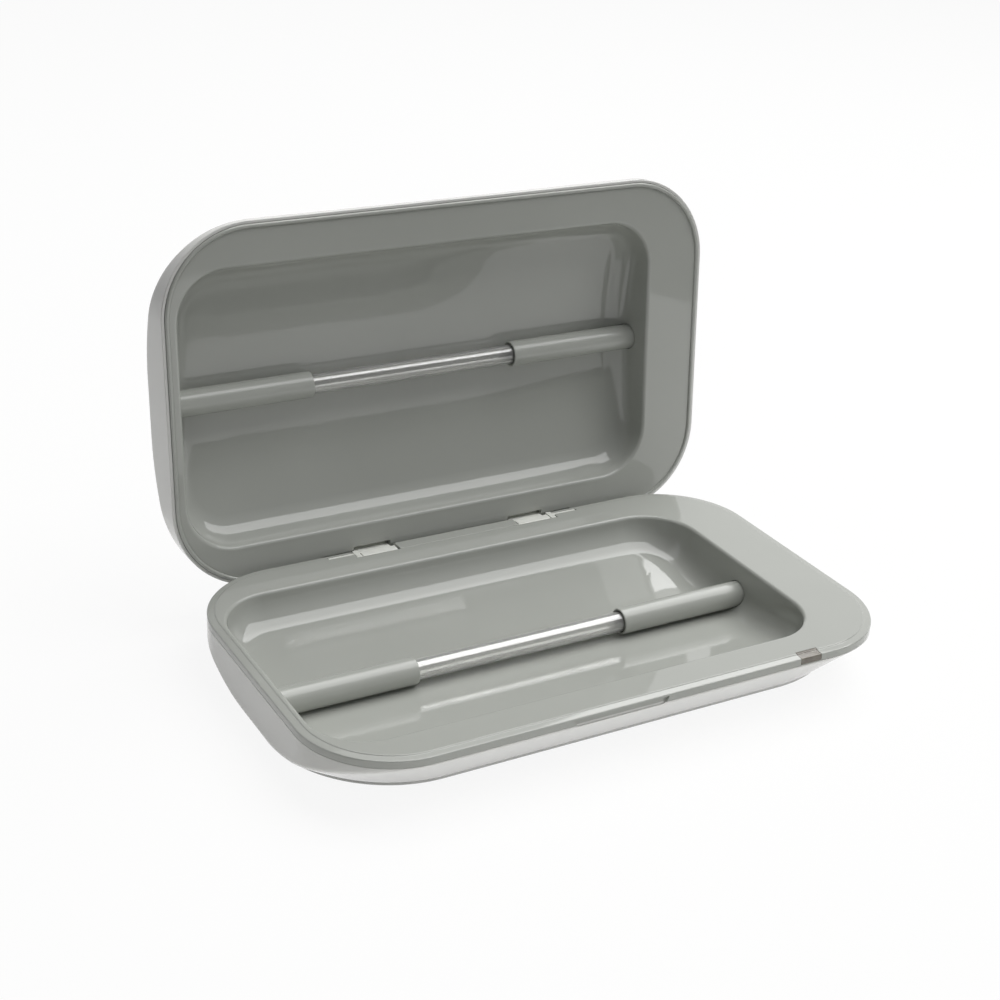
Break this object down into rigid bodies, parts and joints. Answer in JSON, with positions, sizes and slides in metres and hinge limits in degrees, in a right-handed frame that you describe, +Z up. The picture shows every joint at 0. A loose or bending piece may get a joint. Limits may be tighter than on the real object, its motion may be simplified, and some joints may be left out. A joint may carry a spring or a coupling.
{
  "type": "uv sanitizer box",
  "caption": "Clamshell ultraviolet sanitizer box for phones, lid standing open, with a lamp in each tray, a rear hinge and an indicator light pipe.",
  "frame": {"origin": "middle of the base's flat underside", "axes": "+X along the case to its wide right end, +Y to the hinge at the rear, +Z up"},
  "size_m": [0.196, 0.1485, 0.1321],
  "materials": {
    "shell": "glossy moulded ABS, light warm grey",
    "liner": "glossy moulded ABS, mid warm grey",
    "hinge_white": "moulded nylon, off-white",
    "steel": "bright steel",
    "lamp_glass": "clear quartz glass",
    "smoke_plastic": "smoky translucent acrylic",
    "rubber": "matt grey rubber",
    "silicone": "pale silicone rubber",
    "wire": "tinned copper wire",
    "board": "green glass-fibre board",
    "ferrite": "ferrite core with a copper winding",
    "can": "aluminium can",
    "black_plastic": "black moulded plastic",
    "led_lens": "clear epoxy lens"
  },
  "bodies": {
    "base": {"base_outer_shell": "shell", "base_liner": "liner", "base_lamp_tube": "lamp_glass", "base_lamp_sleeve_left": "liner", "base_lamp_plug_left": "silicone", "base_lamp_lead_left": "wire", "base_lamp_sleeve_right": "liner", "base_lamp_plug_right": "silicone", "base_lamp_lead_right": "wire", "hinge_pin_left": "steel", "hinge_pin_keeper_left": "hinge_white", "hinge_pin_right": "steel", "hinge_pin_keeper_right": "hinge_white", "base_screw_1": "steel", "base_screw_2": "steel", "base_screw_3": "steel", "base_screw_4": "steel", "rubber_foot_1": "rubber", "rubber_foot_2": "rubber", "rubber_foot_3": "rubber", "rubber_foot_4": "rubber", "indicator_light_pipe": "smoke_plastic", "indicator_led": "led_lens", "control_board": "board", "inverter_transformer": "ferrite", "inverter_capacitor": "can", "control_chip": "black_plastic", "power_inlet": "black_plastic", "lid_reed_switch": "lamp_glass"},
    "lid": {"lid_outer_shell": "shell", "lid_liner": "liner", "lid_lamp_tube": "lamp_glass", "lid_lamp_sleeve_left": "liner", "lid_lamp_plug_left": "silicone", "lid_lamp_lead_left": "wire", "lid_lamp_sleeve_right": "liner", "lid_lamp_plug_right": "silicone", "lid_lamp_lead_right": "wire", "hinge_arm_left": "hinge_white", "hinge_screw_left_1": "steel", "hinge_screw_left_2": "steel", "hinge_arm_right": "hinge_white", "hinge_screw_right_1": "steel", "hinge_screw_right_2": "steel", "lid_magnet": "steel"}
  },
  "joints": [
    {"name": "lid_hinge", "type": "hinge", "parent": "base", "child": "lid", "pos_m": [0, 0.057, 0.0157], "axis": [1, 0, 0], "range_deg": [0, 95]}
  ]
}
